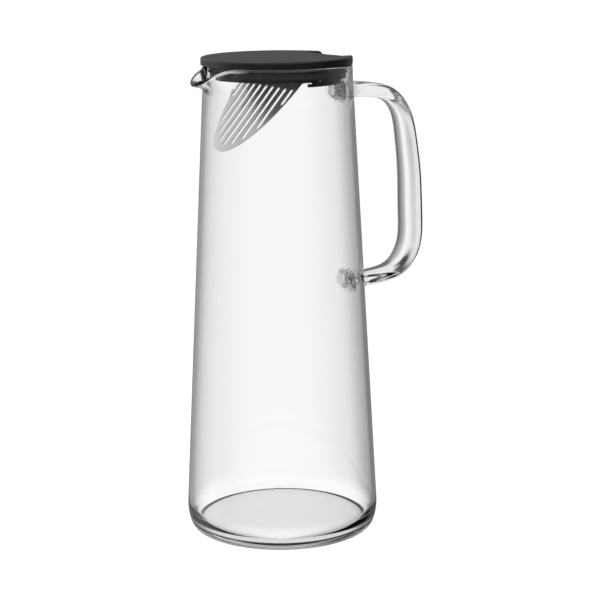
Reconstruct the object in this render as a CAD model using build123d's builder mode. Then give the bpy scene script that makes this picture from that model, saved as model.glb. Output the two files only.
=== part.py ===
"""Iced tea maker: a glass jug with a pulled spout and a fused handle, closed by a
plastic lid that carries a swinging, slotted strainer plate.

Millimetres. Z is the jug's axis and the table is Z = 0. The spout points to -X and
the handle to +X, and the XZ plane is the plane of symmetry.
"""
from build123d import *
import math
import os

os.makedirs("parts", exist_ok=True)

# ---- jug
rim_height = 292.3          # glass rim above the table
rim_radius = 45.4           # outside of the rim
foot_radius = 61.3          # outside of the cone, carried down to the table
wall = 2.6
foot_corner = (5.0, 14.5)   # soft corner under the wall: width, height
floor_thickness = 4.0
floor_corner = (8.0, 12.0)  # the same corner inside

# ---- pulled spout
spout_length = 20.3         # the wall starts to lean out this far below the rim
spout_reach = 12.9          # the lip stands out this far past the rim
spout_drop = 10.4           # the lip dips this far below the rim
spout_half_angle = 26.0     # the lean fades out at this angle to each side
spout_flare = 1.2           # how steeply the shape carries on above the lip

# ---- handle: centre line as distance out from the wall and below the rim
handle_root_depth = 3.0     # the ends start inside the wall and are trimmed to it
handle_top_drop = 18.0
handle_low_drop = 140.1
handle_course = [(20.0, 19.3), (32.0, 22.8), (40.5, 32.5), (44.5, 50.0), (46.0, 73.5),
                 (45.5, 99.5), (42.0, 123.0), (31.0, 135.4), (19.0, 138.7)]
# strap sizes: distance along the centre line, thickness, width
handle_upper_strap = [(0.0, 13.5, 25.0), (3.5, 12.0, 23.0), (8.0, 9.4, 18.8), (18.0, 9.3, 16.5),
                      (36.0, 8.9, 15.5), (50.0, 8.5, 17.8), (67.0, 8.4, 20.0), (91.0, 9.1, 21.4)]
# the same, measured back from the lower end
handle_lower_strap = [(73.0, 9.7, 22.2), (50.0, 9.3, 21.4), (34.0, 8.4, 20.2), (21.0, 8.1, 18.6),
                      (10.0, 8.3, 17.8), (4.0, 10.5, 22.0), (0.0, 12.5, 24.0)]
strap_corner = 0.42         # corner radius as a share of the thickness
strap_sections = 30

# ---- lid cover
lid_gap = 0.3               # cover over the glass rim
cover_overhang = 1.0        # cover past the outside of the rim
cover_shift = 0.7           # its outline stands this far towards the spout
cover_thickness = 4.4
cover_edge = 0.6
cover_recess = 2.2          # hollowed from below
thumb_start = 30.0          # the thumb rest rolls off from here
thumb_end = 42.5            # to here, and runs level to the edge
thumb_drop = 2.0
thumb_half_width = 18.0
spigot_depth = 2.4          # locating rib inside the collar
spigot_wall = 1.8
spigot_clearance = 0.1

# ---- lid collar, heights measured down from the cover
collar_top_clearance = 0.7  # collar to the neck of the jug, at the top
collar_low_clearance = 1.4  # and at the bottom
collar_wall = 4.5
collar_height = 8.1
skirt_wall = 1.6            # thin skirt below the collar, on the handle's side
skirt_height = 11.4
hook_thickness = 1.8
hook_tip_x = -0.4           # the hooks at the skirt's ends reach this far
slot_back_x = 2.4           # the slots above them end here
window_angle = 48.0         # windows through the skirt, either side of the handle
window_width = 6.0

# ---- seal
groove_low = 4.4            # groove faces, below the cover
groove_high = 1.2
groove_depth = 1.7
seal_clearance = 0.3        # lips to the neck of the jug
seal_slack = 0.05           # seal in its groove
seal_lip = 0.8
seal_waist = 0.9            # the seal draws in this far between its lips

# ---- hinge wire
hinge_x = 6.7
hinge_drop = 7.7            # below the cover
wire_radius = 0.9
wire_fit = 0.03             # wire in the collar
knuckle_fit = 0.05          # knuckles round the wire
counterbore_radius = 1.75
wire_end = 0.6              # wire past the skirt's wall

# ---- strainer plate
sheet = 0.5
blade_slope = 49.0          # below horizontal
slot_line_x = -7.7          # the slots' upper ends lie on this line
slot_line_drop = 12.8       # below the cover
blade_side_clearance = 5.3  # blade's ellipse to the neck, at its widest
blade_tip_clearance = 2.3   # and at its tip
blade_centre_up = 15.0      # centre of the blade's ellipse, above the slot line
slot_count = 9
slot_width = 3.5
slot_side_margin = 5.9      # outer slots to the ellipse's widest edge
slot_end_margin = 4.7       # middle slot to the blade's tip
field_side_margin = 3.5     # the ellipse that the slots end on
field_centre_up = 8.0
bend_radius = 1.5
shoulder_length = 2.4       # the blade narrows to the tongue over this length
ear_inset = 12.0            # width of each rolled ear
tongue_back = 1.8           # the tongue between the ears ends this far from the hinge
swing_clearance = 0.3       # tongue to the inside of the skirt
curl_sweep = 290.0          # how far the ears are rolled round the wire

# ---- worked out
neck_slope = (foot_radius - rim_radius) / rim_height
neck_radius = rim_radius - wall
spout_root = rim_height - spout_length
cover_bottom = rim_height + lid_gap
cover_top = cover_bottom + cover_thickness
cover_radius = rim_radius + cover_overhang
collar_radius = neck_radius - collar_low_clearance
collar_bore = collar_radius - collar_wall
collar_bottom = cover_bottom - collar_height
skirt_radius = collar_bore + skirt_wall
hinge_height = cover_bottom - hinge_drop
knuckle_radius = wire_radius + knuckle_fit + sheet
wide = 4 * foot_radius      # larger than the whole jug, for cutting


def cone_radius(height):
    """Outside radius of the plain wall."""
    return foot_radius - neck_slope * height


def spout_lean(angle):
    """1 on the spout's centre line, fading to 0 at its sides."""
    return math.cos(math.radians(90.0 * angle / spout_half_angle)) ** 2


def wall_point(share, lean, depth):
    """Radius and height of the upper wall. Share runs from 0 at the spout's root to 1
    at the rim, and depth is measured into the glass."""
    s = min(max(share, 0.0), 1.0)
    plain_height = spout_root + spout_length * share
    radius = cone_radius(plain_height) + lean * (spout_reach * s ** 2 + spout_flare * spout_length * (share - s))
    height = plain_height - lean * spout_drop * s ** 1.5
    out = lean * 2 * spout_reach * s
    up = spout_length - lean * 1.5 * spout_drop * math.sqrt(s)
    steep = math.hypot(out, up)
    return radius - depth * up / steep, height + depth * out / steep


def wall_radius(height, lean, depth):
    """Radius of the upper wall at a height, found by halving."""
    low, high = -1.0, 3.0
    for _ in range(40):
        share = (low + high) / 2
        if wall_point(share, lean, depth)[1] < height:
            low = share
        else:
            high = share
    return wall_point(low, lean, depth)[0]


def spout_points(height, depth, count=17):
    """Points across the spout at a height, from its +Y side to its -Y side."""
    points = []
    for i in range(count):
        angle = spout_half_angle * (1 - 2 * i / (count - 1))
        radius = wall_radius(height, spout_lean(angle), depth)
        direction = math.radians(180.0 - angle)
        points.append((radius * math.cos(direction), radius * math.sin(direction)))
    return points


def side_tangent(angle):
    """Direction of travel round the wall, counter-clockwise."""
    return (-math.sin(math.radians(angle)), math.cos(math.radians(angle)))


# ---- glass body
level_shares = [0.0, 0.15, 0.25, 0.34, 0.42, 0.48, 0.53, 0.58, 0.66, 0.78, 0.92, 1.15]
spout_start = 180.0 - spout_half_angle
spout_end = 180.0 + spout_half_angle
corner_x = cone_radius(foot_corner[1]) - foot_corner[0]
floor_corner_top = floor_thickness + floor_corner[1]
floor_x = cone_radius(floor_corner_top) - wall - floor_corner[0]

with BuildPart() as glass_body:
    # plain part, from the table up to the spout's root
    with BuildSketch(Plane.XZ):
        with BuildLine():
            l1 = Line((0, 0), (corner_x, 0))
            l2 = EllipticalCenterArc((corner_x, foot_corner[1]), *foot_corner, start_angle=270, arc_size=90)
            l3 = Line(l2 @ 1, (cone_radius(spout_root), spout_root))
            l4 = Line(l3 @ 1, (cone_radius(spout_root) - wall, spout_root))
            l5 = Line(l4 @ 1, (floor_x + floor_corner[0], floor_corner_top))
            l6 = EllipticalCenterArc((floor_x, floor_corner_top), *floor_corner, start_angle=270, arc_size=90)
            l7 = Line(l6 @ 0, (0, floor_thickness))
            Line(l7 @ 1, l1 @ 0)
        make_face()
    revolve(axis=Axis.Z)
    # upper part, leaning out into the spout: outside first, then the bore
    for depth, mode in ((0.0, Mode.ADD), (wall, Mode.SUBTRACT)):
        for share in level_shares:
            level = spout_root + spout_length * share
            plain_radius = cone_radius(level) - depth
            with BuildSketch(Plane.XY.offset(level)):
                with BuildLine():
                    CenterArc((0, 0), plain_radius, spout_end, 360 - 2 * spout_half_angle)
                    if share > 0:
                        Spline(*spout_points(level, depth),
                               tangents=(side_tangent(spout_start), side_tangent(spout_end)))
                    else:
                        CenterArc((0, 0), plain_radius, spout_start, 2 * spout_half_angle)
                make_face()
        loft(ruled=True, mode=mode)
    # the rim is level, and falls in a straight line to the spout's lip
    fall_start = -rim_radius * math.cos(math.radians(spout_half_angle))
    lip_x = -(rim_radius + spout_reach)
    fall = spout_drop / (fall_start - lip_x)
    with BuildSketch(Plane.XZ):
        with BuildLine():
            Polyline((wide, rim_height), (fall_start, rim_height),
                     (-wide, rim_height - fall * (wide + fall_start)),
                     (-wide, wide + rim_height), (wide, wide + rim_height), close=True)
        make_face()
    extrude(amount=wide, both=True, mode=Mode.SUBTRACT)
glass_body.part.label = "glass_body"
export_step(glass_body.part, "parts/glass_body.step")

# ---- glass handle
root_top_height = rim_height - handle_top_drop
root_low_height = rim_height - handle_low_drop
course = [(cone_radius(rim_height - drop) + out, rim_height - drop) for out, drop in handle_course]

with BuildLine(Plane.XZ) as handle_line:
    Spline((cone_radius(root_top_height) - handle_root_depth, root_top_height), *course,
           (cone_radius(root_low_height) - handle_root_depth, root_low_height))
centre_line = handle_line.wires()[0]
strap = handle_upper_strap + [(centre_line.length - back, *size) for back, *size in handle_lower_strap]


def strap_size(distance):
    """Thickness and width of the strap at a distance along its centre line."""
    for (start, *first), (end, *second) in zip(strap, strap[1:]):
        if distance <= end:
            share = (distance - start) / (end - start)
            return [a + share * (b - a) for a, b in zip(first, second)]
    return strap[-1][1:]


with BuildPart() as glass_handle:
    for i in range(strap_sections + 1):
        share = i / strap_sections
        thickness, width = strap_size(share * centre_line.length)
        with BuildSketch(Plane(origin=centre_line @ share, x_dir=(0, 1, 0), z_dir=centre_line % share)):
            RectangleRounded(width, thickness, strap_corner * thickness)
    loft()
    # trimmed to the outside of the jug
    with BuildSketch(Plane.XZ):
        Polygon((0, 0), (foot_radius, 0), (rim_radius, rim_height), (0, rim_height), align=None)
    revolve(axis=Axis.Z, mode=Mode.SUBTRACT)
glass_handle.part.label = "glass_handle"
export_step(glass_handle.part, "parts/glass_handle.step")

# ---- lid cover
spigot_radius = collar_bore - spigot_clearance
spigot_bore = spigot_radius - spigot_wall

with BuildPart() as lid_cover:
    with BuildSketch(Plane.XY.offset(cover_bottom)):
        with Locations((-cover_shift, 0)):
            Circle(cover_radius)
    extrude(amount=cover_thickness)
    fillet(lid_cover.edges(), radius=cover_edge)
    with BuildSketch(Plane.XY.offset(cover_bottom)):
        Circle(spigot_bore)
    extrude(amount=cover_recess, mode=Mode.SUBTRACT)
    with BuildSketch(Plane.XY.offset(cover_bottom - spigot_depth)):
        Circle(spigot_radius)
        Circle(spigot_bore, mode=Mode.SUBTRACT)
    extrude(amount=spigot_depth)
    # thumb rest over the handle: a soft roll-off, then level to the edge
    with BuildSketch(Plane.XZ):
        with BuildLine():
            t1 = Spline((thumb_start, cover_top), (thumb_end, cover_top - thumb_drop), tangents=((1, 0), (1, 0)))
            Polyline(t1 @ 1, (wide, cover_top - thumb_drop), (wide, wide + cover_top),
                     (thumb_start, wide + cover_top), t1 @ 0)
        make_face()
    extrude(amount=thumb_half_width, both=True, mode=Mode.SUBTRACT)
lid_cover.part.label = "lid_cover"
export_step(lid_cover.part, "parts/lid_cover.step")

# ---- lid collar
groove_bottom = cover_bottom - groove_low
groove_top = cover_bottom - groove_high
groove_radius = collar_radius - groove_depth
collar_top_radius = neck_radius - collar_top_clearance
skirt_bottom = cover_bottom - skirt_height
hook_top = skirt_bottom + hook_thickness
skirt_side = math.sqrt(skirt_radius ** 2 - hinge_x ** 2)     # skirt's outside at the hinge

with BuildPart() as lid_collar:
    # closed ring with the seal's groove round it
    with BuildSketch(Plane.XZ):
        with BuildLine():
            Polyline((collar_bore, collar_bottom), (collar_radius, collar_bottom),
                     (collar_radius, groove_bottom), (groove_radius, groove_bottom),
                     (groove_radius, groove_top), (collar_top_radius, groove_top),
                     (collar_top_radius, cover_bottom), (collar_bore, cover_bottom), close=True)
        make_face()
    revolve(axis=Axis.Z)
    # skirt on the handle's side: two hooks, and over them slots that are open to the front
    with BuildSketch(Plane.XY.offset(skirt_bottom)):
        Circle(skirt_radius)
        Circle(collar_bore, mode=Mode.SUBTRACT)
        with Locations((hook_tip_x, 0)):
            Rectangle(wide, wide, align=(Align.MAX, Align.CENTER), mode=Mode.SUBTRACT)
    extrude(amount=hook_thickness)
    with BuildSketch(Plane.XY.offset(hook_top)):
        Circle(skirt_radius)
        Circle(collar_bore, mode=Mode.SUBTRACT)
        with Locations((slot_back_x, 0)):
            Rectangle(wide, wide, align=(Align.MAX, Align.CENTER), mode=Mode.SUBTRACT)
        with PolarLocations(skirt_radius, 2, -window_angle, 2 * window_angle, endpoint=True):
            Rectangle(4 * skirt_wall, window_width, mode=Mode.SUBTRACT)
    extrude(amount=collar_bottom - hook_top)
    # bores for the hinge wire, wider outside the skirt's wall
    with BuildSketch(Plane.XZ):
        with Locations((hinge_x, hinge_height)):
            Circle(wire_radius + wire_fit)
    extrude(amount=wide, both=True, mode=Mode.SUBTRACT)
    for side in (1, -1):
        with BuildSketch(Plane.XZ.offset(side * skirt_side)):
            with Locations((hinge_x, hinge_height)):
                Circle(counterbore_radius)
        extrude(amount=side * wide, mode=Mode.SUBTRACT)
lid_collar.part.label = "lid_collar"
export_step(lid_collar.part, "parts/lid_collar.step")

# ---- seal ring
seal_low = groove_bottom + seal_slack
seal_high = groove_top - seal_slack
seal_inside = groove_radius + seal_slack
seal_outside = neck_radius - seal_clearance

with BuildPart() as seal_ring:
    with BuildSketch(Plane.XZ):
        with BuildLine():
            Polyline((seal_inside, seal_low), (seal_outside, seal_low), (seal_outside, seal_low + seal_lip),
                     (seal_outside - seal_waist, seal_low + seal_lip),
                     (seal_outside - seal_waist, seal_high - seal_lip),
                     (seal_outside, seal_high - seal_lip), (seal_outside, seal_high),
                     (seal_inside, seal_high), close=True)
        make_face()
    revolve(axis=Axis.Z)
seal_ring.part.label = "seal_ring"
export_step(seal_ring.part, "parts/seal_ring.step")

# ---- hinge wire
with BuildPart() as hinge_wire:
    with BuildSketch(Plane.XZ):
        with Locations((hinge_x, hinge_height)):
            Circle(wire_radius)
    extrude(amount=skirt_side + wire_end, both=True)
hinge_wire.part.label = "hinge_wire"
export_step(hinge_wire.part, "parts/hinge_wire.step")

# ---- strainer plate
tilt = math.radians(blade_slope)
slot_line_height = cover_bottom - slot_line_drop
tongue_bottom = hinge_height - knuckle_radius
tongue_top = tongue_bottom + sheet
fold_x = slot_line_x + (tongue_top - slot_line_height) / math.tan(tilt)
fold_shift = sheet * math.tan(tilt / 2)      # the underside folds this far behind the top
blade_tip = (neck_radius - blade_tip_clearance + slot_line_x) / math.cos(tilt)
blade_half_width = neck_radius - blade_side_clearance
blade_half_length = blade_tip + blade_centre_up
fold_up = (tongue_top - slot_line_height) / math.sin(tilt)      # fold, above the slot line
fold_half_width = blade_half_width * math.sqrt(1 - ((blade_centre_up - fold_up) / blade_half_length) ** 2)
field_half_width = blade_half_width - field_side_margin
field_half_length = blade_tip + field_centre_up - slot_end_margin
slot_pitch = (blade_half_width - slot_side_margin) / ((slot_count - 1) / 2)
tongue_half_width = math.sqrt(collar_bore ** 2 - (hinge_x + knuckle_radius) ** 2) - swing_clearance
ear_inner = tongue_half_width - ear_inset
blade_plane = Plane(origin=(slot_line_x, 0, slot_line_height),
                    x_dir=(-math.cos(tilt), 0, -math.sin(tilt)), z_dir=(-math.sin(tilt), 0, math.cos(tilt)))

with BuildPart() as strainer_plate:
    # side view of the bent sheet
    low_x, low_height = fold_x - wide * math.cos(tilt), tongue_top - wide * math.sin(tilt)
    with BuildSketch(Plane.XZ):
        with BuildLine():
            Polyline((low_x, low_height), (fold_x, tongue_top), (hinge_x, tongue_top),
                     (hinge_x, tongue_bottom), (fold_x + fold_shift, tongue_bottom),
                     (low_x + sheet * math.sin(tilt), low_height - sheet * math.cos(tilt)), close=True)
        make_face()
    extrude(amount=fold_half_width, both=True)
    across_edges = strainer_plate.edges().filter_by(Axis.Y)
    fillet(across_edges.sort_by_distance((fold_x, 0, tongue_top))[0], radius=bend_radius + sheet)
    across_edges = strainer_plate.edges().filter_by(Axis.Y)
    fillet(across_edges.sort_by_distance((fold_x + fold_shift, 0, tongue_bottom))[0], radius=bend_radius)
    # the blade is cut to an ellipse, and slotted
    with BuildSketch(blade_plane):
        with Locations((-blade_centre_up, 0)):
            Rectangle(2 * wide, wide, align=(Align.MIN, Align.CENTER))
            Ellipse(blade_half_length, blade_half_width, mode=Mode.SUBTRACT)
        for i in range(slot_count):
            across = (i - (slot_count - 1) / 2) * slot_pitch
            end = field_half_length * math.sqrt(1 - (across / field_half_width) ** 2) - field_centre_up
            with Locations((end / 2, across)):
                SlotOverall(end, slot_width)
    extrude(amount=2 * sheet, both=True, mode=Mode.SUBTRACT)
    # shoulders, down to the tongue that swings between the hooks
    with BuildSketch(Plane.XY.offset(tongue_bottom)):
        for side in (1, -1):
            Polygon((fold_x, side * fold_half_width), (fold_x + shoulder_length, side * tongue_half_width),
                    (wide, side * tongue_half_width), (wide, side * wide), (fold_x, side * wide), align=None)
    extrude(amount=sheet, mode=Mode.SUBTRACT)
    # between the ears the tongue stops short of the wire
    with BuildSketch(Plane.XY.offset(tongue_bottom)):
        with Locations((hinge_x - tongue_back, 0)):
            Rectangle(wide, 2 * ear_inner, align=(Align.MIN, Align.CENTER))
    extrude(amount=sheet, mode=Mode.SUBTRACT)
    # ears rolled round the hinge wire
    for side in (1, -1):
        with BuildSketch(Plane.XZ.offset(side * ear_inner)):
            with BuildLine():
                c1 = CenterArc((hinge_x, hinge_height), knuckle_radius, 270, curl_sweep)
                c2 = CenterArc((hinge_x, hinge_height), knuckle_radius - sheet, 270, curl_sweep)
                Line(c1 @ 0, c2 @ 0)
                Line(c1 @ 1, c2 @ 1)
            make_face()
        extrude(amount=side * ear_inset)
strainer_plate.part.label = "strainer_plate"
export_step(strainer_plate.part, "parts/strainer_plate.step")
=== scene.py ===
from bisect import bisect_right
from math import atan2, cos, degrees, hypot, pi, radians, sin, sqrt

import bmesh
import bpy
from mathutils import Matrix, Vector


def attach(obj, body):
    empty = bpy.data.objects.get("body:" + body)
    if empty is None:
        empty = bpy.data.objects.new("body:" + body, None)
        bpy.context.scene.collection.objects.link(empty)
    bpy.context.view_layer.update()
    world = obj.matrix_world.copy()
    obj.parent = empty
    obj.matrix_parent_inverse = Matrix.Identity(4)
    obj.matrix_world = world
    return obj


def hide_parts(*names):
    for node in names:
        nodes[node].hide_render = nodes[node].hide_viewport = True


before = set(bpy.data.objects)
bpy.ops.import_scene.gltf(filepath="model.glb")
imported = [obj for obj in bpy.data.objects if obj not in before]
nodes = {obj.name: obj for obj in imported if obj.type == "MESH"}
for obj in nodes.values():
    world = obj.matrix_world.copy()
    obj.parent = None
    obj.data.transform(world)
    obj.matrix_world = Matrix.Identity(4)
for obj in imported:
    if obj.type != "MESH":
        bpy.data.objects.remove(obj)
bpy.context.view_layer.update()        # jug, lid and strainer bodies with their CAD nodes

scene = bpy.context.scene
mm = 0.001               # sizes below are in millimetres, the scene is in metres


# ---------- mesh helpers
def makePiece(name, points, faces):
    # points in millimetres, faces as rows of point numbers
    mesh = bpy.data.meshes.new(name)
    mesh.from_pydata([(x * mm, y * mm, z * mm) for x, y, z in points], [], faces)
    mesh.update()
    piece = bpy.data.objects.new(name, mesh)
    scene.collection.objects.link(piece)
    return piece


def faceOutward(piece):
    bm = bmesh.new()
    bm.from_mesh(piece.data)
    bmesh.ops.recalc_face_normals(bm, faces=bm.faces)
    bm.to_mesh(piece.data)
    bm.free()


def smoothShade(piece, angle):
    # edges sharper than the angle stay crisp
    piece.data.polygons.foreach_set("use_smooth", [True] * len(piece.data.polygons))
    bm = bmesh.new()
    bm.from_mesh(piece.data)
    limit = radians(angle)
    for edge in bm.edges:
        edge.smooth = len(edge.link_faces) != 2 or edge.calc_face_angle() < limit
    bm.to_mesh(piece.data)
    bm.free()
    piece.data.update()


def applyModifiers(piece):
    bpy.context.view_layer.update()
    ready = piece.evaluated_get(bpy.context.evaluated_depsgraph_get())
    mesh = bpy.data.meshes.new_from_object(ready)
    piece.modifiers.clear()
    piece.data = mesh


def blendStep(value, start, end):
    t = min(max((value - start) / (end - start), 0.0), 1.0)
    return t * t * (3 - 2 * t)


def smoothTable(table, place):
    # table rows are (place, value, value ...), joined without corners
    places = [row[0] for row in table]
    i = min(max(bisect_right(places, place) - 1, 0), len(table) - 2)
    span = places[i + 1] - places[i]
    t = min(max((place - places[i]) / span, 0.0), 1.0)
    values = []
    for k in range(1, len(table[0])):
        def slope(j):
            if j <= 0 or j >= len(table) - 1:
                j = min(max(j, 0), len(table) - 1)
                a, b = (0, 1) if j == 0 else (j - 1, j)
                return (table[b][k] - table[a][k]) / (table[b][0] - table[a][0])
            left = (table[j][k] - table[j - 1][k]) / (places[j] - places[j - 1])
            right = (table[j + 1][k] - table[j][k]) / (places[j + 1] - places[j])
            return 0.0 if left * right <= 0 else 2 * left * right / (left + right)
        a, b = table[i][k], table[i + 1][k]
        values.append((2 * t**3 - 3 * t**2 + 1) * a + (t**3 - 2 * t**2 + t) * span * slope(i)
                      + (3 * t**2 - 2 * t**3) * b + (t**3 - t**2) * span * slope(i + 1))
    return values


# ---------- camera, at the photograph's angle
camera = dict(
    spin=28.5,           # degrees round the jug from straight in front
    back=1086.7,         # from the jug's axis
    height=387.11,
    lens=106.5,
    sensor=36.0,
    clip=(0.05, 60.0),   # metres
    pitch=12.571,        # looking down
    yaw=0.653,
    roll=0.487,
)

cameraData = bpy.data.cameras.new("viewCamera")
cameraData.lens = camera["lens"]
cameraData.sensor_width = camera["sensor"]
cameraData.clip_start, cameraData.clip_end = camera["clip"]
cameraObject = bpy.data.objects.new("viewCamera", cameraData)
scene.collection.objects.link(cameraObject)
cameraPlace = (Matrix.Rotation(radians(-camera["spin"]), 4, "Z")
               @ Matrix.Translation((0, -camera["back"] * mm, camera["height"] * mm)))
cameraTurn = (Matrix.Rotation(radians(-camera["yaw"]), 4, "Z")
              @ Matrix.Rotation(radians(90 - camera["pitch"]), 4, "X")
              @ Matrix.Rotation(radians(-camera["roll"]), 4, "Z"))
cameraObject.matrix_world = cameraPlace @ cameraTurn
scene.camera = cameraObject
print("camera set")


# ---------- material helpers
def newMaterial(name):
    material = bpy.data.materials.new(name)
    material.use_nodes = True
    tree = material.node_tree
    tree.nodes.clear()
    return material, tree


def addNode(tree, kind, inputs=None, **settings):
    node = tree.nodes.new(kind)
    for key, value in settings.items():
        setattr(node, key, value)
    for key, value in (inputs or {}).items():
        if isinstance(value, bpy.types.NodeSocket):
            tree.links.new(value, node.inputs[key])
        else:
            node.inputs[key].default_value = value
    return node


def calc(tree, operation, first, second=0.0, third=0.0, clamp=False):
    node = addNode(tree, "ShaderNodeMath", {0: first, 1: second, 2: third}, operation=operation)
    node.use_clamp = clamp
    return node.outputs[0]


def ramp(tree, factor, stops):
    # stops are (place, grey) or (place, (r, g, b)), in rising order
    node = addNode(tree, "ShaderNodeValToRGB", {"Fac": factor})
    marks = node.color_ramp.elements
    marks[0].position, marks[1].position = stops[0][0], stops[-1][0]
    for place, _ in stops[1:-1]:
        marks.new(place)
    for mark, (_, tone) in zip(marks, stops):
        mark.color = (tone, tone, tone, 1) if isinstance(tone, (int, float)) else (*tone, 1)
    return node.outputs["Color"]


def objectPlace(tree, scale=(1, 1, 1), turn=(0, 0, 0)):
    coords = addNode(tree, "ShaderNodeTexCoord")
    mapping = addNode(tree, "ShaderNodeMapping", {"Vector": coords.outputs["Object"], "Scale": scale,
                                                  "Rotation": [radians(a) for a in turn]})
    return mapping.outputs["Vector"]


def noise(tree, place, scale, detail, rough):
    return addNode(tree, "ShaderNodeTexNoise", {"Vector": place, "Scale": scale, "Detail": detail,
                                                "Roughness": rough}).outputs["Fac"]


def between(tree, value, low, high):
    # 0 at low, 1 at high, smooth in between; low may be the larger
    return addNode(tree, "ShaderNodeMapRange", {"Value": value, "From Min": low, "From Max": high},
                   interpolation_type="SMOOTHSTEP").outputs["Result"]


def band(tree, value, start, full, fade, end):
    # 1 from full to fade, 0 outside start and end
    return calc(tree, "MULTIPLY", between(tree, value, start, full), between(tree, value, end, fade))


def mixValue(tree, share, first, second):
    # first where share is 0, second where it is 1
    return calc(tree, "MULTIPLY_ADD", share, calc(tree, "SUBTRACT", second, first), first)


# ---------- clear glass, fire-polished
glassLook = dict(
    ior=1.5,
    absorbColour=(0.895, 0.905, 0.90),
    absorbDensity=45.0,  # per metre, felt only along the wall and through the foot
    waveScale=(22, 22, 9),
    waveNoise=(1.5, 0.4),        # detail, roughness
    waveHeight=0.00006,
    rootPlaces=((0.0464, 0, 0.2743), (0.0530, 0, 0.1526)),     # where the handle was pressed on
    rootReach=(0.0092, 0.0070),  # the dents fade in between these distances
    rootSquash=(1.0, 0.6, 1.0),  # the pressed patch is wider along y
    rootDents=430.0,     # dents to the metre
    rootNoise=(1.0, 0.5),
    rootHeight=0.0005,
    rootPaintedLight=0.55,       # painted light: how much white is painted into the pressed glass at the roots at most
    paintedMottleEdges=(0.36, 0.60),
    bloomAndPaintedLight=0.72,           # painted highlight: how much white is painted on the flanks of the spout's rim
    paintedLightColour=(0.9, 0.9, 0.9),
    shadowTint=(0.96, 0.965, 0.965),
)


def glassMaterial():
    material, tree = newMaterial("clearGlass")
    wave = noise(tree, objectPlace(tree, glassLook["waveScale"]), 1.0, *glassLook["waveNoise"])
    height = calc(tree, "MULTIPLY", wave, glassLook["waveHeight"])
    # the wall is dented where the handle's roots were pressed on
    pressed = noise(tree, objectPlace(tree), glassLook["rootDents"], *glassLook["rootNoise"])
    dents = calc(tree, "MULTIPLY", pressed, glassLook["rootHeight"])
    # painted light: the dents' noise gives a mottled share of white at the roots
    paintedMottle = between(tree, pressed, *glassLook["paintedMottleEdges"])
    atRoots = 0.0
    for root in glassLook["rootPlaces"]:
        coords = addNode(tree, "ShaderNodeTexCoord")
        off = addNode(tree, "ShaderNodeVectorMath", {0: coords.outputs["Object"], 1: root}, operation="SUBTRACT")
        flat = addNode(tree, "ShaderNodeVectorMath", {0: off.outputs[0], 1: glassLook["rootSquash"]},
                       operation="MULTIPLY")
        far = addNode(tree, "ShaderNodeVectorMath", {0: flat.outputs[0]}, operation="LENGTH")
        near = between(tree, far.outputs["Value"], *glassLook["rootReach"])
        height = calc(tree, "MULTIPLY_ADD", dents, near, height)
        atRoots = calc(tree, "ADD", near, atRoots)
    bump = addNode(tree, "ShaderNodeBump", {"Height": height, "Strength": 1.0, "Distance": 1.0})
    clear = addNode(tree, "ShaderNodeBsdfPrincipled", {
        "Base Color": (1, 1, 1, 1), "Roughness": 0.0, "IOR": glassLook["ior"],
        "Transmission Weight": 1.0, "Normal": bump.outputs["Normal"]})
    # white painted into the glass: a painted highlight on the spout's rim, and painted light at the handle's roots
    white = addNode(tree, "ShaderNodeBsdfDiffuse", {"Color": (*glassLook["paintedLightColour"], 1)})
    rim = addNode(tree, "ShaderNodeAttribute", attribute_name="rimPaintedHighlight")
    bloomAndPaintedLight = calc(tree, "MULTIPLY_ADD", calc(tree, "MULTIPLY", paintedMottle, atRoots), glassLook["rootPaintedLight"],
                calc(tree, "MULTIPLY", rim.outputs["Fac"], glassLook["bloomAndPaintedLight"]))
    withPaintedLight = addNode(tree, "ShaderNodeMixShader", {0: bloomAndPaintedLight, 1: clear.outputs[0], 2: white.outputs[0]})
    through = addNode(tree, "ShaderNodeBsdfTransparent", {"Color": (*glassLook["shadowTint"], 1)})
    rays = addNode(tree, "ShaderNodeLightPath")
    surface = addNode(tree, "ShaderNodeMixShader", {0: rays.outputs["Is Shadow Ray"],
                                                    1: withPaintedLight.outputs[0], 2: through.outputs[0]})
    absorb = addNode(tree, "ShaderNodeVolumeAbsorption", {"Color": (*glassLook["absorbColour"], 1),
                                                          "Density": glassLook["absorbDensity"]})
    addNode(tree, "ShaderNodeOutputMaterial", {"Surface": surface.outputs[0], "Volume": absorb.outputs[0]})
    return material


# ---------- black moulded plastic of the lid
lidLook = dict(
    dark=(0.004, 0.004, 0.0042),
    light=(0.009, 0.009, 0.0093),
    roughness=(0.34, 0.44),
    ior=1.46,
    grain=2600.0,        # grains to the metre
    grainNoise=(2.0, 0.6),
    grainStrength=0.5,
    grainHeight=0.00003,
    cloud=38.0,          # slow changes of tone, to the metre
    cloudNoise=(3.0, 0.55),
    cloudEdges=(0.3, 0.72),
)


def lidMaterial():
    material, tree = newMaterial("lidBlackPlastic")
    place = objectPlace(tree)
    grain = noise(tree, place, lidLook["grain"], *lidLook["grainNoise"])
    cloud = noise(tree, place, lidLook["cloud"], *lidLook["cloudNoise"])
    colour = ramp(tree, cloud, list(zip(lidLook["cloudEdges"], (lidLook["dark"], lidLook["light"]))))
    low, high = lidLook["roughness"]
    roughness = calc(tree, "MULTIPLY_ADD", cloud, high - low, low)
    bump = addNode(tree, "ShaderNodeBump", {"Height": grain, "Strength": lidLook["grainStrength"],
                                              "Distance": lidLook["grainHeight"]})
    body = addNode(tree, "ShaderNodeBsdfPrincipled", {"Base Color": colour, "Roughness": roughness,
                                                      "IOR": lidLook["ior"], "Normal": bump.outputs["Normal"]})
    addNode(tree, "ShaderNodeOutputMaterial", {"Surface": body.outputs[0]})
    return material


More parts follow.
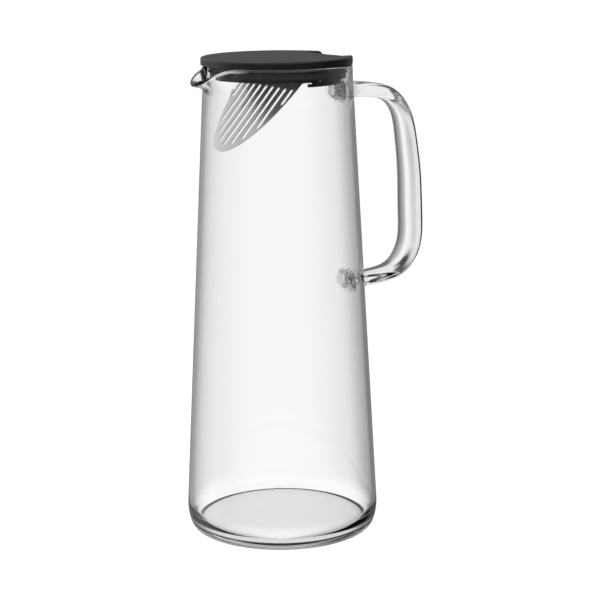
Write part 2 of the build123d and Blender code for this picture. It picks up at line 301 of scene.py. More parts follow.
# ---------- soft black seal
sealLook = dict(
    colour=(0.010, 0.010, 0.0105),
    bloom=(0.020, 0.020, 0.0207),
    roughness=(0.34, 0.52),
    ior=1.41,
    bloomAndPaintedLight=160.0,          # patches to the metre
    hazeNoise=(4.0, 0.6),
    hazeEdges=(0.35, 0.75),
    grain=1400.0,
    grainNoise=(2.0, 0.5),
    grainStrength=0.25,
    grainHeight=0.00003,
)


def sealMaterial():
    material, tree = newMaterial("sealSilicone")
    place = objectPlace(tree)
    bloomAndPaintedLight = noise(tree, place, sealLook["bloomAndPaintedLight"], *sealLook["hazeNoise"])
    grain = noise(tree, place, sealLook["grain"], *sealLook["grainNoise"])
    colour = ramp(tree, bloomAndPaintedLight, list(zip(sealLook["hazeEdges"], (sealLook["colour"], sealLook["bloom"]))))
    low, high = sealLook["roughness"]
    roughness = calc(tree, "MULTIPLY_ADD", bloomAndPaintedLight, high - low, low)
    bump = addNode(tree, "ShaderNodeBump", {"Height": grain, "Strength": sealLook["grainStrength"],
                                              "Distance": sealLook["grainHeight"]})
    body = addNode(tree, "ShaderNodeBsdfPrincipled", {"Base Color": colour, "Roughness": roughness,
                                                      "IOR": sealLook["ior"], "Normal": bump.outputs["Normal"]})
    addNode(tree, "ShaderNodeOutputMaterial", {"Surface": body.outputs[0]})
    return material


# ---------- brushed stainless steel; the grain runs along the slots, or along the wire
steelLook = dict(
    colour=(0.52, 0.52, 0.51),
    shine=(0.72, 0.72, 0.71),
    roughness=(0.30, 0.44),
    metallic=0.84,
    grain=2200.0,        # brush lines to the metre
    stretch=0.025,       # a line's width over its length
    grainNoise=(2.0, 0.6),
    grainEdges=(0.3, 0.7),
    grainStrength=0.6,
    grainHeight=0.000012,
    cloud=60.0,
    cloudNoise=(3.0, 0.5),
    lineShare=0.6,       # of the roughness that follows the lines, and the rest the clouds
    cloudShare=0.4,
)


def steelMaterial(name, turn, along):
    material, tree = newMaterial(name)
    scale = [1.0, 1.0, 1.0]
    scale[along] = steelLook["stretch"]
    # the place is turned first and stretched after, so the lines follow the sheet
    turned = objectPlace(tree, turn=turn)
    stretched = addNode(tree, "ShaderNodeMapping", {"Vector": turned, "Scale": scale}).outputs["Vector"]
    line = noise(tree, stretched, steelLook["grain"], *steelLook["grainNoise"])
    cloud = noise(tree, turned, steelLook["cloud"], *steelLook["cloudNoise"])
    colour = ramp(tree, line, list(zip(steelLook["grainEdges"], (steelLook["colour"], steelLook["shine"]))))
    low, high = steelLook["roughness"]
    mixed = calc(tree, "MULTIPLY_ADD", line, steelLook["lineShare"],
                 calc(tree, "MULTIPLY", cloud, steelLook["cloudShare"]))
    roughness = calc(tree, "MULTIPLY_ADD", mixed, high - low, low)
    bump = addNode(tree, "ShaderNodeBump", {"Height": line, "Strength": steelLook["grainStrength"],
                                              "Distance": steelLook["grainHeight"]})
    body = addNode(tree, "ShaderNodeBsdfPrincipled", {"Base Color": colour, "Metallic": steelLook["metallic"],
                                                      "Roughness": roughness, "Normal": bump.outputs["Normal"]})
    addNode(tree, "ShaderNodeOutputMaterial", {"Surface": body.outputs[0]})
    return material


clearGlass = glassMaterial()
lidPlastic = lidMaterial()
sealRubber = sealMaterial()
sheetSteel = steelMaterial("brushedSteelSheet", (0, -49, 0), 0)
wireSteel = steelMaterial("drawnSteelWire", (0, 0, 0), 1)
print("materials ready")


# ---------- glass jug: blown wall, soft foot corner, pulled spout, fire-polished rim
jug = dict(
    rimHeight=292.3,
    rimRadius=45.4,
    footRadius=61.3,
    wall=2.6,
    footCorner=(5.0, 14.5),
    floorThickness=4.0,
    floorCorner=(8.0, 12.0),
    spoutLength=20.3,
    spoutReach=12.9,
    spoutDrop=10.4,
    spoutHalfAngle=26.0,
    spoutFlare=1.2,
    bead=0.2,            # the rim swells this much to each side where it was melted round
    beadLength=0.3,      # share of the spout's height over which it swells
    plainEnd=0.926,      # the straight wall ends here and the round rim begins
    spoutEnd=0.945,
    paintedHighlightFrom=(11.0, 18.0),       # degrees from the spout's middle: the painted highlight on the rim fades in and out here
    paintedHighlightTo=(22.0, 42.0),
    paintedHighlightReach=(1.55, 1.85),      # from the middle of the rim's section
    paintedHighlightUpperOuter=(0.2, 0.9),   # it lies on the section's upper outer quarter
    footShares=(0.12, 0.35, 0.6, 0.8, 0.92, 0.98),
    floorShares=(0.92, 0.75, 0.5, 0.25, 0.08),
    cornerSteps=18,
    wallSteps=30,
    innerStart=4.0,      # the inside wall's rows begin this far above the floor's corner
    spoutRows=22,
    spoutRowEase=1.25,   # brings those rows closer together towards the rim
    rimSteps=12,
    floorSteps=16,
    stepsRound=264,
    spoutSteps=72,
    spoutMargin=2.0,     # degrees past the spout that also get the fine steps
)

neckSlope = (jug["footRadius"] - jug["rimRadius"]) / jug["rimHeight"]
spoutRoot = jug["rimHeight"] - jug["spoutLength"]


def quarterTurn(steps):
    return [pi / 2 * k / steps for k in range(steps + 1)]


def coneRadius(height):
    return jug["footRadius"] - neckSlope * height


def spoutLean(angle):
    # 1 on the spout's centre line, 0 past its sides; angle is from the spout
    if abs(angle) >= jug["spoutHalfAngle"]:
        return 0.0
    return cos(radians(90 * angle / jug["spoutHalfAngle"])) ** 2


def wallPoint(share, lean, depth):
    # radius and height of the upper wall, depth into the glass
    s = min(max(share, 0.0), 1.0)
    plainHeight = spoutRoot + jug["spoutLength"] * share
    radius = coneRadius(plainHeight) + lean * (jug["spoutReach"] * s ** 2
                                               + jug["spoutFlare"] * jug["spoutLength"] * (share - s))
    height = plainHeight - lean * jug["spoutDrop"] * s ** 1.5
    out = lean * 2 * jug["spoutReach"] * s
    up = jug["spoutLength"] - lean * 1.5 * jug["spoutDrop"] * sqrt(s)
    steep = hypot(out, up)
    return radius - depth * up / steep, height + depth * out / steep


def wallProfile(lean):
    # outside from the foot's centre up, over the rim, and down inside to the floor's centre
    wall, bead = jug["wall"], jug["bead"]
    cornerWide, cornerHigh = jug["footCorner"]
    cornerX = coneRadius(cornerHigh) - cornerWide
    rows = [(cornerX * k, 0.0) for k in jug["footShares"]]
    rows += [(cornerX + cornerWide * sin(a), cornerHigh * (1 - cos(a))) for a in quarterTurn(jug["cornerSteps"])]
    wallSteps = jug["wallSteps"]
    levels = [cornerHigh + (spoutRoot - cornerHigh) * k / wallSteps for k in range(1, wallSteps + 1)]
    rows += [(coneRadius(z), z) for z in levels]
    end = jug["plainEnd"] + lean * (jug["spoutEnd"] - jug["plainEnd"])
    rowCount = jug["spoutRows"]
    shares = [end * (1 - (1 - k / rowCount) ** jug["spoutRowEase"]) for k in range(1, rowCount + 1)]

    def swell(share):
        return bead * blendStep(share, end - jug["beadLength"], end)

    rows += [wallPoint(s, lean, -swell(s)) for s in shares]
    # round rim: half a circle about the middle of the wall
    middle = wallPoint(end, lean, wall / 2)
    outer = wallPoint(end, lean, -bead)
    across = (outer[0] - middle[0], outer[1] - middle[1])
    along = (-across[1], across[0])
    rows += [(middle[0] + across[0] * cos(a) + along[0] * sin(a), middle[1] + across[1] * cos(a) + along[1] * sin(a))
             for a in [pi * k / jug["rimSteps"] for k in range(1, jug["rimSteps"])]]
    rows += [wallPoint(s, lean, wall + swell(s)) for s in reversed(shares)]
    # each row of the inside wall is level with the outside row it faces
    floorWide, floorHigh = jug["floorCorner"]
    top = jug["floorThickness"] + floorHigh
    rows += [(coneRadius(z) - wall, z) for z in reversed(levels[:-1]) if z > top + jug["innerStart"]]
    floorX = coneRadius(top) - wall - floorWide
    rows += [(floorX + floorWide * cos(a), top - floorHigh * sin(a)) for a in quarterTurn(jug["floorSteps"])]
    rows += [(floorX * k, jug["floorThickness"]) for k in jug["floorShares"]]
    return rows


def roundSteps(count, centre, halfWidth, fineCount):
    # angles round the axis, closer together within halfWidth of the centre
    fine = [centre - halfWidth + 2 * halfWidth * k / fineCount for k in range(fineCount)]
    rest = 360 - 2 * halfWidth
    return fine + [centre + halfWidth + rest * k / count for k in range(count)]


def jugBody():
    angles = roundSteps(jug["stepsRound"], 180.0, jug["spoutHalfAngle"] + jug["spoutMargin"], jug["spoutSteps"])
    points, faces = [], []
    for angle in angles:
        fromSpout = angle % 360 - 180
        direction = radians(angle)
        for radius, height in wallProfile(spoutLean(fromSpout)):
            points.append((radius * cos(direction), radius * sin(direction), height))
    count = len(points) // len(angles)
    for i in range(len(angles)):
        j = (i + 1) % len(angles)
        for k in range(count - 1):
            faces.append((i * count + k, j * count + k, j * count + k + 1, i * count + k + 1))
    underside, floor = len(points), len(points) + 1
    points += [(0, 0, 0), (0, 0, jug["floorThickness"])]
    for i in range(len(angles)):
        j = (i + 1) % len(angles)
        faces.append((i * count, underside, j * count))
        faces.append((i * count + count - 1, j * count + count - 1, floor))
    piece = makePiece("jugBody", points, faces)
    faceOutward(piece)
    return piece


# ---------- glass handle: a bent strap, melted onto the wall at both ends
handle = dict(
    rootDepth=3.0,
    topDrop=18.0,
    lowDrop=140.1,
    course=[(20.0, 19.3), (32.0, 22.8), (40.4, 32.5), (44.2, 50.0), (45.7, 73.5),
            (45.2, 99.5), (41.8, 123.0), (31.0, 135.4), (19.0, 138.7)],
    # distance along, thickness, width, squareness: 2 is an oval, more is squarer
    upper=[(0.0, 13.5, 25.0, 2.8), (3.5, 12.0, 23.0, 3.0), (8.0, 9.5, 18.9, 3.3), (18.0, 9.4, 16.6, 3.3),
           (36.0, 9.1, 15.8, 3.1), (50.0, 8.8, 18.4, 2.7), (67.0, 8.8, 20.8, 2.7), (91.0, 9.5, 22.2, 2.7)],
    # distance back from the lower end
    lower=[(73.0, 10.1, 23.0, 2.7), (50.0, 9.7, 22.2, 2.7), (34.0, 8.6, 20.7, 3.0), (21.0, 8.3, 18.8, 3.5),
           (10.0, 8.5, 17.9, 3.6), (4.0, 10.8, 22.0, 3.0), (0.0, 12.5, 24.0, 2.8)],
    sink=1.3,            # the ends stop this deep in the wall
    rootZone=7.0,        # from here in, the rings bend to the wall's shape
    fillet=1.7,          # melted glass between strap and wall
    filletStart=0.25,    # it begins this far inside the wall
    # how far each ring near the wall has moved from the strap's own ring to the sunk end
    rootShares=(1.0, 0.72, 0.5, 0.38, 0.3, 0.24, 0.19, 0.15, 0.12, 0.09, 0.06, 0.03),
    settleSteps=6,       # rounds of sending a point to its depth
    leanLimit=0.2,
    samples=3000,        # along the course, to measure its length
    stepsLong=150,
    stepsRound=56,
)


def naturalSpline(points):
    # curve through points, with no bend at its ends, measured along its chords
    ts = [0.0]
    for a, b in zip(points, points[1:]):
        ts.append(ts[-1] + hypot(b[0] - a[0], b[1] - a[1]))
    count = len(points)
    curves = []
    for axis in (0, 1):
        lower, middle, upper, right = [0.0] * count, [1.0] * count, [0.0] * count, [0.0] * count
        for i in range(1, count - 1):
            before, after = ts[i] - ts[i - 1], ts[i + 1] - ts[i]
            lower[i], middle[i], upper[i] = before / 6, (before + after) / 3, after / 6
            right[i] = ((points[i + 1][axis] - points[i][axis]) / after
                        - (points[i][axis] - points[i - 1][axis]) / before)
        for i in range(1, count):
            share = lower[i] / middle[i - 1]
            middle[i] -= share * upper[i - 1]
            right[i] -= share * right[i - 1]
        bend = [0.0] * count
        for i in range(count - 1, -1, -1):
            bend[i] = (right[i] - (upper[i] * bend[i + 1] if i < count - 1 else 0.0)) / middle[i]
        curves.append(bend)

    def place(t):
        i = min(max(bisect_right(ts, t) - 1, 0), count - 2)
        span = ts[i + 1] - ts[i]
        a, b = (ts[i + 1] - t) / span, (t - ts[i]) / span
        return tuple(a * points[i][k] + b * points[i + 1][k]
                     + ((a**3 - a) * curves[k][i] + (b**3 - b) * curves[k][i + 1]) * span**2 / 6 for k in (0, 1))

    return place, ts[-1]


def wallDistance(point):
    # from the outside of the jug's plain wall, positive outside
    return (hypot(point[0], point[1]) - coneRadius(point[2])) / sqrt(1 + neckSlope**2)


def handleStrap():
    topHeight, lowHeight = jug["rimHeight"] - handle["topDrop"], jug["rimHeight"] - handle["lowDrop"]
    course = [(coneRadius(topHeight) - handle["rootDepth"], topHeight)]
    course += [(coneRadius(jug["rimHeight"] - drop) + out, jug["rimHeight"] - drop) for out, drop in handle["course"]]
    course += [(coneRadius(lowHeight) - handle["rootDepth"], lowHeight)]
    place, chordLength = naturalSpline(course)
    fine = handle["samples"]
    samples = [place(chordLength * k / fine) for k in range(fine + 1)]
    runs = [0.0]
    for a, b in zip(samples, samples[1:]):
        runs.append(runs[-1] + hypot(b[0] - a[0], b[1] - a[1]))
    length = runs[-1]
    sizes = handle["upper"] + [(length - back, *size) for back, *size in handle["lower"]]

    def ringFrame(distance):
        i = min(max(bisect_right(runs, distance), 1), fine - 1)
        t = (distance - runs[i - 1]) / (runs[i] - runs[i - 1])
        centre = [samples[i - 1][k] + t * (samples[i][k] - samples[i - 1][k]) for k in (0, 1)]
        a, b = samples[max(i - 6, 0)], samples[min(i + 5, fine)]
        long = hypot(b[0] - a[0], b[1] - a[1])
        return centre, ((b[0] - a[0]) / long, (b[1] - a[1]) / long)

    def ring(distance):
        # points of a rounded section, square to the course
        centre, (tx, tz) = ringFrame(distance)
        thick, wide, square = smoothTable(sizes, distance)
        power = 2 / square
        points = []
        for k in range(handle["stepsRound"]):
            a = 2 * pi * k / handle["stepsRound"]
            across = wide / 2 * abs(cos(a)) ** power * (1 if cos(a) >= 0 else -1)
            up = thick / 2 * abs(sin(a)) ** power * (1 if sin(a) >= 0 else -1)
            points.append(Vector((centre[0] - tz * up, across, centre[1] + tx * up)))
        return points, Vector((centre[0], 0, centre[1])), Vector((tx, 0, tz))

    def melt(points, centre, along):
        # near the wall the strap spreads into a fillet
        spread = []
        for point in points:
            near = wallDistance(point) + handle["filletStart"]
            radius = handle["fillet"]
            if near < radius:
                near = max(near, 0.0)
                push = radius - sqrt(radius**2 - (radius - near)**2)
                out = point - centre
                out -= along * out.dot(along)
                point = point + out.normalized() * push
            spread.append(point)
        return spread

    rings = []
    zone = handle["rootDepth"] + handle["rootZone"]

    def settle(point, goal, inward):
        # slides a point along the strap until it is that far from the wall
        for _ in range(handle["settleSteps"]):
            point = point + inward * (wallDistance(point) - goal) / max(-inward.x, handle["leanLimit"])
        return point

    def rootRings(distance, sign):
        # from inside the wall out to the zone's edge
        base, centre, along = ring(distance)
        inward = along * -sign
        made = []
        for share in handle["rootShares"]:
            goals = [wallDistance(point) * (1 - share) - handle["sink"] * share for point in base]
            moved = [settle(point, goal, inward) for point, goal in zip(base, goals)]
            # section size also follows the flare that the root has
            middle = sum(moved, Vector()) / len(moved)
            fromWall = max(wallDistance(middle), -0.5)
            thick, wide, _ = smoothTable(sizes, handle["rootDepth"] + fromWall if sign > 0
                                         else length - handle["rootDepth"] - fromWall)
            baseThick, baseWide, _ = smoothTable(sizes, distance)
            side = along.cross(Vector((0, 1, 0)))
            grown = []
            for p in moved:
                q = p - middle
                up = q.dot(side)
                grown.append(p + side * up * (thick / baseThick - 1) + Vector((0, q.y * (wide / baseWide - 1), 0)))
            # growing slides points off their depth, so they are sent back to it
            settled = [settle(point, goal, inward) for point, goal in zip(grown, goals)]
            made.append(melt(settled, sum(settled, Vector()) / len(settled), along))
        return made

    rings += rootRings(zone, 1)
    for k in range(handle["stepsLong"] + 1):
        distance = zone + (length - 2 * zone) * k / handle["stepsLong"]
        rings.append(melt(*ring(distance)))
    rings += list(reversed(rootRings(length - zone, -1)))
    points, faces = [], []
    around = handle["stepsRound"]
    for row in rings:
        points += [tuple(p) for p in row]
    for i in range(len(rings) - 1):
        for k in range(around):
            n = (k + 1) % around
            faces.append((i * around + k, i * around + n, (i + 1) * around + n, (i + 1) * around + k))
    # ends, inside the wall
    for first in (0, (len(rings) - 1) * around):
        ends = points[first:first + around]
        centre = Vector([sum(p[k] for p in ends) / around for k in (0, 1, 2)])
        for _ in range(handle["settleSteps"]):
            centre += Vector((-handle["sink"] - wallDistance(centre), 0, 0))
        hub = len(points)
        points.append(tuple(centre))
        for k in range(around):
            faces.append((first + k, first + (k + 1) % around, hub))
    piece = makePiece("jugHandle", points, faces)
    faceOutward(piece)
    return piece


def markRimPaintedHighlight(piece):
    # how much white highlight is painted on the spout's rim, point by point
    values = []
    for vertex in piece.data.vertices:
        x, y, z = [v / mm for v in vertex.co]
        side = (degrees(atan2(y, x)) % 360) - 180
        lean = spoutLean(side)
        end = jug["plainEnd"] + lean * (jug["spoutEnd"] - jug["plainEnd"])
        radius, height = wallPoint(end, lean, jug["wall"] / 2)
        out, up = hypot(x, y) - radius, z - height
        off = max(hypot(out, up), 0.01)
        around = blendStep(abs(side), *jug["paintedHighlightFrom"]) * (1 - blendStep(abs(side), *jug["paintedHighlightTo"]))
        across = (1 - blendStep(off, *jug["paintedHighlightReach"])) * blendStep((out + up) / off, *jug["paintedHighlightUpperOuter"])
        values.append(around * across)
    bloomAndPaintedLight = piece.data.attributes.new("rimPaintedHighlight", "FLOAT", "POINT")
    bloomAndPaintedLight.data.foreach_set("value", values)


def makeJug():
    body, strap = jugBody(), handleStrap()
    join = body.modifiers.new("fuse", "BOOLEAN")
    join.operation = "UNION"
    join.solver = "EXACT"
    join.object = strap
    applyModifiers(body)
    bpy.data.objects.remove(strap)
    smoothShade(body, 34)        # degrees
    markRimPaintedHighlight(body)
    body.name = "glassJug"
    body.data.name = "glassJug"
    body.data.materials.clear()
    body.data.materials.append(clearGlass)
    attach(body, "jug")
    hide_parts("glass_body", "glass_handle")
    return body


glassJug = makeJug()
print("glass jug:", len(glassJug.data.polygons), "faces")


# ---------- lid cover: flat disc with a thumb rest over the handle
cover = dict(
    bottom=292.6,
    radius=46.4,
    thickness=4.4,
    recess=2.2,
    ribDepth=2.4,
    ribRadius=36.8,
    ribWall=1.8,
    shift=0.7,           # the outline stands this far towards the spout
    thumbStart=30.0,     # the thumb rest rolls off from here
    thumbEnd=42.5,       # to here, then runs level
    thumbDrop=2.0,
    thumbHalfWidth=18.0,
    thumbSlope=0.9,      # its side walls lean out this much for their height
    thumbLead=0.5,       # the cutting shape starts this much before thumbStart
    thumbSteps=30,
    cutPast=(3.0, 4.0),  # the cutting shape reaches this far past the disc, outwards and up
    edge=0.6,            # rounding of the disc's edges
    topEdge=1.1,         # rounding of its top rim
    topEdgeSteps=6,
    steps=240,
)


def lathe(name, profile, steps):
    # profile rows are (radius, height); a radius of 0 closes on the axis
    points, faces, rows = [], [], []
    for radius, height in profile:
        if radius == 0:
            rows.append([len(points)] * steps)
            points.append((0, 0, height))
        else:
            rows.append(list(range(len(points), len(points) + steps)))
            points += [(radius * cos(2 * pi * k / steps), radius * sin(2 * pi * k / steps), height)
                       for k in range(steps)]
    for a, b in zip(rows, rows[1:]):
        if a[0] == a[1] or b[0] == b[1]:
            faces.append(tuple(b if a[0] == a[1] else a))
            continue
        for k in range(steps):
            n = (k + 1) % steps
            faces.append((a[k], a[n], b[n], b[k]))
    piece = makePiece(name, points, faces)
    loose = bmesh.new()
    loose.from_mesh(piece.data)
    bmesh.ops.delete(loose, geom=[v for v in loose.verts if not v.link_faces], context="VERTS")
    loose.to_mesh(piece.data)
    loose.free()
    faceOutward(piece)
    return piece


def prism(name, outline, halfWidth):
    # outline is (x, z) points; halfWidth gives how far it reaches along y at a height
    count = len(outline)
    points = [(x, side * halfWidth(z), z) for side in (-1, 1) for x, z in outline]
    faces = [tuple(range(count)), tuple(range(count, 2 * count))]
    faces += [(k, (k + 1) % count, count + (k + 1) % count, count + k) for k in range(count)]
    piece = makePiece(name, points, faces)
    faceOutward(piece)
    return piece


def cutAway(piece, tool):
    cut = piece.modifiers.new("cut", "BOOLEAN")
    cut.operation = "DIFFERENCE"
    cut.solver = "EXACT"
    cut.object = tool
    applyModifiers(piece)
    bpy.data.objects.remove(tool)


def addBevel(piece, width, segments, angle):
    bevel = piece.modifiers.new("softEdges", "BEVEL")
    bevel.width = width * mm
    bevel.segments = segments
    bevel.limit_method = "ANGLE"
    bevel.angle_limit = radians(angle)


def makeCover():
    bottom, radius = cover["bottom"], cover["radius"]
    top = bottom + cover["thickness"]
    ribIn = cover["ribRadius"] - cover["ribWall"]
    soft = cover["topEdge"]
    rim = [(radius - soft * (1 - sin(a)), top - soft * (1 - cos(a))) for a in quarterTurn(cover["topEdgeSteps"])]
    ribOut, ribLow, inside = cover["ribRadius"], bottom - cover["ribDepth"], bottom + cover["recess"]
    underside = [(radius, bottom), (ribOut, bottom), (ribOut, ribLow), (ribIn, ribLow), (ribIn, inside), (0, inside)]
    disc = lathe("lidCover", [(0, top)] + rim + underside, cover["steps"])
    # the rib stays centred on the neck, and only the outline moves
    for vertex in disc.data.vertices:
        if hypot(vertex.co.x, vertex.co.y) > (ribOut + 1) * mm:
            vertex.co.x -= cover["shift"] * mm
    start, end, low = cover["thumbStart"], cover["thumbEnd"], top - cover["thumbDrop"]
    steps, lead, (past, above) = cover["thumbSteps"], start - cover["thumbLead"], cover["cutPast"]
    roll = [(start + (end - start) * k / steps, top - cover["thumbDrop"] * blendStep(k / steps, 0, 1))
            for k in range(1, steps + 1)]
    # a hair above the top where it starts, so that no two faces lie in one plane
    outline = [(lead, top + 0.02)] + roll + [(radius + past, low), (radius + past, top + above), (lead, top + above)]
    cutAway(disc, prism("thumbCut", outline, lambda z: cover["thumbHalfWidth"] + cover["thumbSlope"] * (z - low)))
    addBevel(disc, cover["edge"], 3, 34)
    applyModifiers(disc)
    smoothShade(disc, 30)
    weighted = disc.modifiers.new("evenNormals", "WEIGHTED_NORMAL")
    weighted.keep_sharp = True
    disc.data.materials.clear()
    disc.data.materials.append(lidPlastic)
    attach(disc, "lid")
    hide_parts("lid_cover")
    return disc


lidCover = makeCover()
print("lid cover:", len(lidCover.data.polygons), "faces")


# ---------- CAD nodes that stay, with their finishes
kept = dict(
    lid_collar=(lidPlastic, 0.18),
    seal_ring=(sealRubber, 0.12),
    hinge_wire=(wireSteel, 0.10),
    strainer_plate=(sheetSteel, 0.10),
)

for name, (material, edge) in kept.items():
    node = nodes[name]
    node.data.materials.clear()
    node.data.materials.append(material)
    weld = node.modifiers.new("weld", "WELD")
    weld.merge_threshold = 0.000002
    addBevel(node, edge, 2, 32)
print("kept CAD nodes finished")


# ---------- floor, world and lamps
studio = dict(
    floorSize=6.0,       # metres
    floorDepth=0.0003,   # the floor lies this far under the foot
    floorWhite=1.2,
    floorLit=(0.85, 0.85, 0.85),
    floorShadow=0.18,    # how much of the floor's look is lit, the rest is plain white
    forward=61.5,        # the white backdrop's middle, degrees from +X
    # brightness that reflections find round the room; here and below, angles are in degrees
    # to the left of the backdrop's middle, and a rise is the height of a direction of length 1
    walls=[(-180, 0.10), (-150, 0.06), (-118, 0.05), (-100, 0.20), (-80, 0.55), (-60, 0.35), (-25, 0.22),
           (-6, 0.28), (6, 0.28), (20, 0.35), (38, 0.40), (46, 0.50), (52, 0.62), (60, 0.76), (70, 0.95),
           (88, 0.95), (100, 0.45), (120, 0.12), (180, 0.10)],
    ground=0.75,
    groundRise=(-0.45, -0.70),
    overhead=0.85,
    overheadRise=(0.66, 0.86),
    # a soft box high in front, and one on the left above the horizon
    frontBox=1.2,
    frontBoxReach=(0.05, -0.30),
    frontBoxRise=(0.22, 0.34, 0.62, 0.74),
    sideBox=1.06,
    sideBoxEdges=(12, 34, 96, 120),
    sideBoxRise=(0.05, 0.30),
    # brightness seen through both walls of the jug
    backdrop=[(-180, 0.94), (-54, 0.94), (-38, 0.70), (-20, 0.58), (-11, 0.60), (-7, 0.74), (-4, 0.94),
              (-2, 1.10), (1, 1.12), (3, 1.06), (6, 0.90), (10, 0.80), (25, 0.76), (38, 0.76), (54, 0.94),
              (180, 0.94)],
    # brightness seen through one thickness of glass; the same four times round the room
    panels=[(-45, 0.10), (-38, 0.07), (-31, 0.14), (-24, 0.23), (-16, 0.38), (-9, 0.60), (-7, 0.80),
            (-3, 0.95), (0, 1.0), (4, 0.95), (20, 0.90), (36, 0.80), (45, 0.10)],
    lowPanels=0.12,      # on the main side the panels end low down, at this level
    lowPanelsRise=(-0.28, -0.46),
    mainSide=(-64, -46, 46, 64),
    otherSides=0.6,      # how much lighter the panels are on the other sides
    # brightness that light turned round inside the glass finds above the horizon
    glassRoom=[(-180, 0.60), (-125, 0.90), (-85, 0.92), (-55, 0.95), (10, 0.95), (22, 0.35), (28, 0.05),
               (45, 0.05), (53, 0.50), (62, 0.90), (180, 0.60)],
    glassRoomRise=(0.10, 0.30),
    # the right-hand wall is dark for what isn't turned inside the glass
    rightDark=0.05,
    rightDarkEdges=(-122, -104, -56, -40),
    softLight=0.20,      # what matt surfaces get from the room
    # name, place, aimed at, size (all in metres), power
    lamps=[("overheadBox", (-0.15, 0.1, 1.15), (0, 0, 0.25), (0.9, 0.9), 9.0),
           ("leftBox", (-1.0, 0.1, 0.5), (0, 0, 0.25), (0.5, 0.6), 2.2)],
)


floorMesh = bpy.data.meshes.new("floor")
half = studio["floorSize"] / 2
floorMesh.from_pydata([(x * half, y * half, -studio["floorDepth"]) for x, y in ((-1, -1), (1, -1), (1, 1), (-1, 1))],
                      [], [(0, 1, 2, 3)])
floor = bpy.data.objects.new("floor", floorMesh)
scene.collection.objects.link(floor)
floorMaterial, tree = newMaterial("paleFloor")
rays = addNode(tree, "ShaderNodeLightPath")
white = addNode(tree, "ShaderNodeEmission", {"Color": (1, 1, 1, 1), "Strength": studio["floorWhite"]})
lit = addNode(tree, "ShaderNodeBsdfDiffuse", {"Color": (*studio["floorLit"], 1)})
mixed = addNode(tree, "ShaderNodeMixShader", {0: studio["floorShadow"], 1: white.outputs[0], 2: lit.outputs[0]})
# glass and metal look past the floor to the white room round it
clear = addNode(tree, "ShaderNodeBsdfTransparent")
glassRay = calc(tree, "MAXIMUM", rays.outputs["Is Transmission Ray"], rays.outputs["Is Glossy Ray"])
seen = addNode(tree, "ShaderNodeMixShader", {0: glassRay, 1: mixed.outputs[0], 2: clear.outputs[0]})
addNode(tree, "ShaderNodeOutputMaterial", {"Surface": seen.outputs[0]})
floorMaterial.cycles.emission_sampling = "NONE"
floor.data.materials.append(floorMaterial)

world = bpy.data.worlds.new("studioWorld")
scene.world = world
world.use_nodes = True
tree = world.node_tree
tree.nodes.clear()
rays = addNode(tree, "ShaderNodeLightPath")
coords = addNode(tree, "ShaderNodeTexCoord")
turned = addNode(tree, "ShaderNodeVectorRotate", {"Vector": coords.outputs["Generated"],
                                                  "Angle": radians(-studio["forward"])}, rotation_type="Z_AXIS")
parts = addNode(tree, "ShaderNodeSeparateXYZ", {0: turned.outputs[0]})
# 0 to 1 round the horizon: 0.5 is the backdrop's middle, less is to the right of it
bearing = calc(tree, "MULTIPLY_ADD", calc(tree, "ARCTAN2", parts.outputs["Y"], parts.outputs["X"]), 1 / (2 * pi), 0.5)
rise = parts.outputs["Z"]
depth = rays.outputs["Transmission Depth"]


def turns(angle):
    return 0.5 + angle / 360


def roundRoom(name):
    return ramp(tree, bearing, [(turns(angle), tone) for angle, tone in studio[name]])


def side(name):
    return band(tree, bearing, *[turns(angle) for angle in studio[name]])


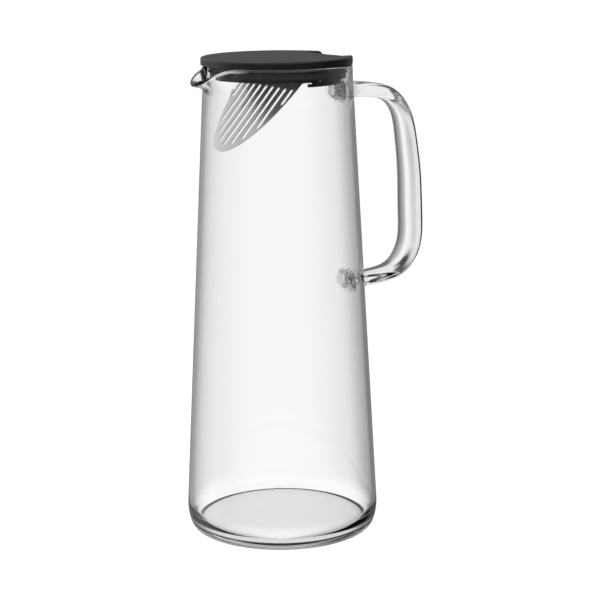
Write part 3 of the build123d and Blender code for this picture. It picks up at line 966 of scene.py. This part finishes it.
# what reflections find
room = mixValue(tree, between(tree, rise, *studio["groundRise"]), roundRoom("walls"), studio["ground"])
room = mixValue(tree, between(tree, rise, *studio["overheadRise"]), room, studio["overhead"])
inFront = between(tree, parts.outputs["X"], *studio["frontBoxReach"])
atHeight = band(tree, rise, *studio["frontBoxRise"])
room = calc(tree, "ADD", room, calc(tree, "MULTIPLY", calc(tree, "MULTIPLY", inFront, atHeight), studio["frontBox"]))
onLeft = calc(tree, "MULTIPLY", side("sideBoxEdges"), between(tree, rise, *studio["sideBoxRise"]))
room = mixValue(tree, onLeft, room, studio["sideBox"])
insideGlass = calc(tree, "MULTIPLY", calc(tree, "GREATER_THAN", depth, 0.5), calc(tree, "LESS_THAN", depth, 2.5))
onRight = calc(tree, "MULTIPLY", side("rightDarkEdges"), calc(tree, "SUBTRACT", 1.0, insideGlass))
room = mixValue(tree, onRight, room, studio["rightDark"])
turnedUp = calc(tree, "MULTIPLY", insideGlass, between(tree, rise, *studio["glassRoomRise"]))
room = mixValue(tree, turnedUp, room, roundRoom("glassRoom"))

# what shows through one thickness of glass, and through both walls
quarter = calc(tree, "FRACT", calc(tree, "MULTIPLY_ADD", bearing, 4.0, 0.5))
panels = ramp(tree, quarter, [(0.5 + angle / 90, tone) for angle, tone in studio["panels"]])
mainSide = side("mainSide")
lowDown = calc(tree, "MULTIPLY", mainSide, between(tree, rise, *studio["lowPanelsRise"]))
panels = mixValue(tree, lowDown, panels, studio["lowPanels"])
otherSides = calc(tree, "MULTIPLY_ADD", mainSide, -studio["otherSides"], studio["otherSides"])
panels = mixValue(tree, otherSides, panels, 1.0)
through = mixValue(tree, calc(tree, "GREATER_THAN", depth, 2.5), panels, roundRoom("backdrop"))

level = mixValue(tree, calc(tree, "GREATER_THAN", rays.outputs["Glossy Depth"], 0.5), through, room)
level = mixValue(tree, rays.outputs["Is Diffuse Ray"], level, studio["softLight"])
level = mixValue(tree, rays.outputs["Is Camera Ray"], level, 1.0)
colour = addNode(tree, "ShaderNodeCombineColor", {0: level, 1: level, 2: level})
sky = addNode(tree, "ShaderNodeBackground", {"Color": colour.outputs[0], "Strength": 1.0})
addNode(tree, "ShaderNodeOutputWorld", {"Surface": sky.outputs[0]})


def areaLamp(name, place, aim, size, power):
    data = bpy.data.lights.new(name, "AREA")
    data.shape = "RECTANGLE"
    data.size, data.size_y = size
    data.energy = power
    lamp = bpy.data.objects.new(name, data)
    lamp.location = place
    lamp.rotation_euler = (Vector(place) - Vector(aim)).to_track_quat("Z", "Y").to_euler()
    lamp.visible_glossy = False
    lamp.visible_transmission = False
    scene.collection.objects.link(lamp)


for lampRow in studio["lamps"]:
    areaLamp(*lampRow)
scene.view_settings.view_transform = "Standard"
print("studio set")
